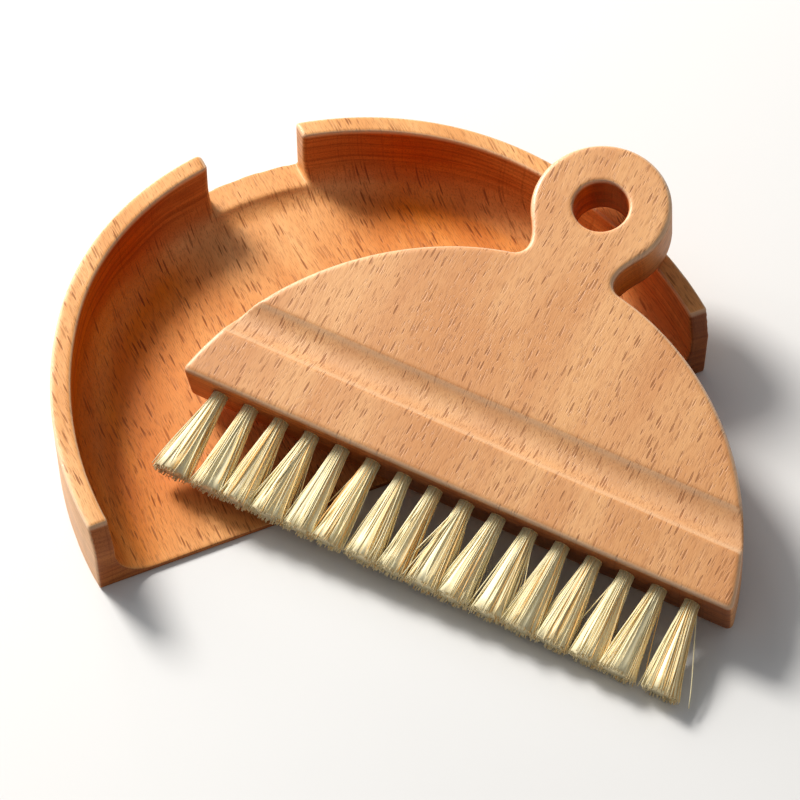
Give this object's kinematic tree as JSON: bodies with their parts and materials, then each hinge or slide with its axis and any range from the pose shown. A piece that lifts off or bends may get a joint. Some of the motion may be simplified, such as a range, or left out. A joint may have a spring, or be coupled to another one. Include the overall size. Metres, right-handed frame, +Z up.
{
  "type": "dust pan and brush set",
  "caption": "Half-round wooden dust pan with a notched wall, and a half-round wooden hand brush with one row of fibre tufts and a hanging loop.",
  "frame": {"origin": "on the pan's underside, under the middle of the pan", "axes": "+Z up from the table, +Y from the pan's open front edge towards the notch at its back, +X along the front edge to the right"},
  "size_m": [0.184, 0.2073, 0.0461],
  "materials": {
    "pan_beech": "sanded and oiled",
    "brush_beech": "sanded and oiled",
    "bristle_fibre": "natural plant fibre",
    "staple_wire": "flat drawn wire"
  },
  "bodies": {
    "pan": {"pan": "pan_beech"},
    "brush": {"brush_block": "brush_beech", "tuft_roots": "bristle_fibre", "tuft_staples": "staple_wire"},
    "bristles": {"tuft_01": "bristle_fibre", "tuft_02": "bristle_fibre", "tuft_03": "bristle_fibre", "tuft_04": "bristle_fibre", "tuft_05": "bristle_fibre", "tuft_06": "bristle_fibre", "tuft_07": "bristle_fibre", "tuft_08": "bristle_fibre", "tuft_09": "bristle_fibre", "tuft_10": "bristle_fibre", "tuft_11": "bristle_fibre", "tuft_12": "bristle_fibre", "tuft_13": "bristle_fibre", "tuft_14": "bristle_fibre", "tuft_15": "bristle_fibre", "tuft_16": "bristle_fibre"}
  },
  "joints": [
    {"name": "brush_lift", "type": "slide", "parent": "pan", "child": "brush", "axis": [0, 0, 1], "range_m": [0, 0.12]},
    {"name": "bristle_bend", "type": "hinge", "parent": "brush", "child": "bristles", "pos_m": [0.00128, -0.07715, 0.01161], "axis": [-0.6193, 0.7845, 0.0338], "range_deg": [0, 25], "stiffness_Nm_per_rad": 0.05}
  ]
}
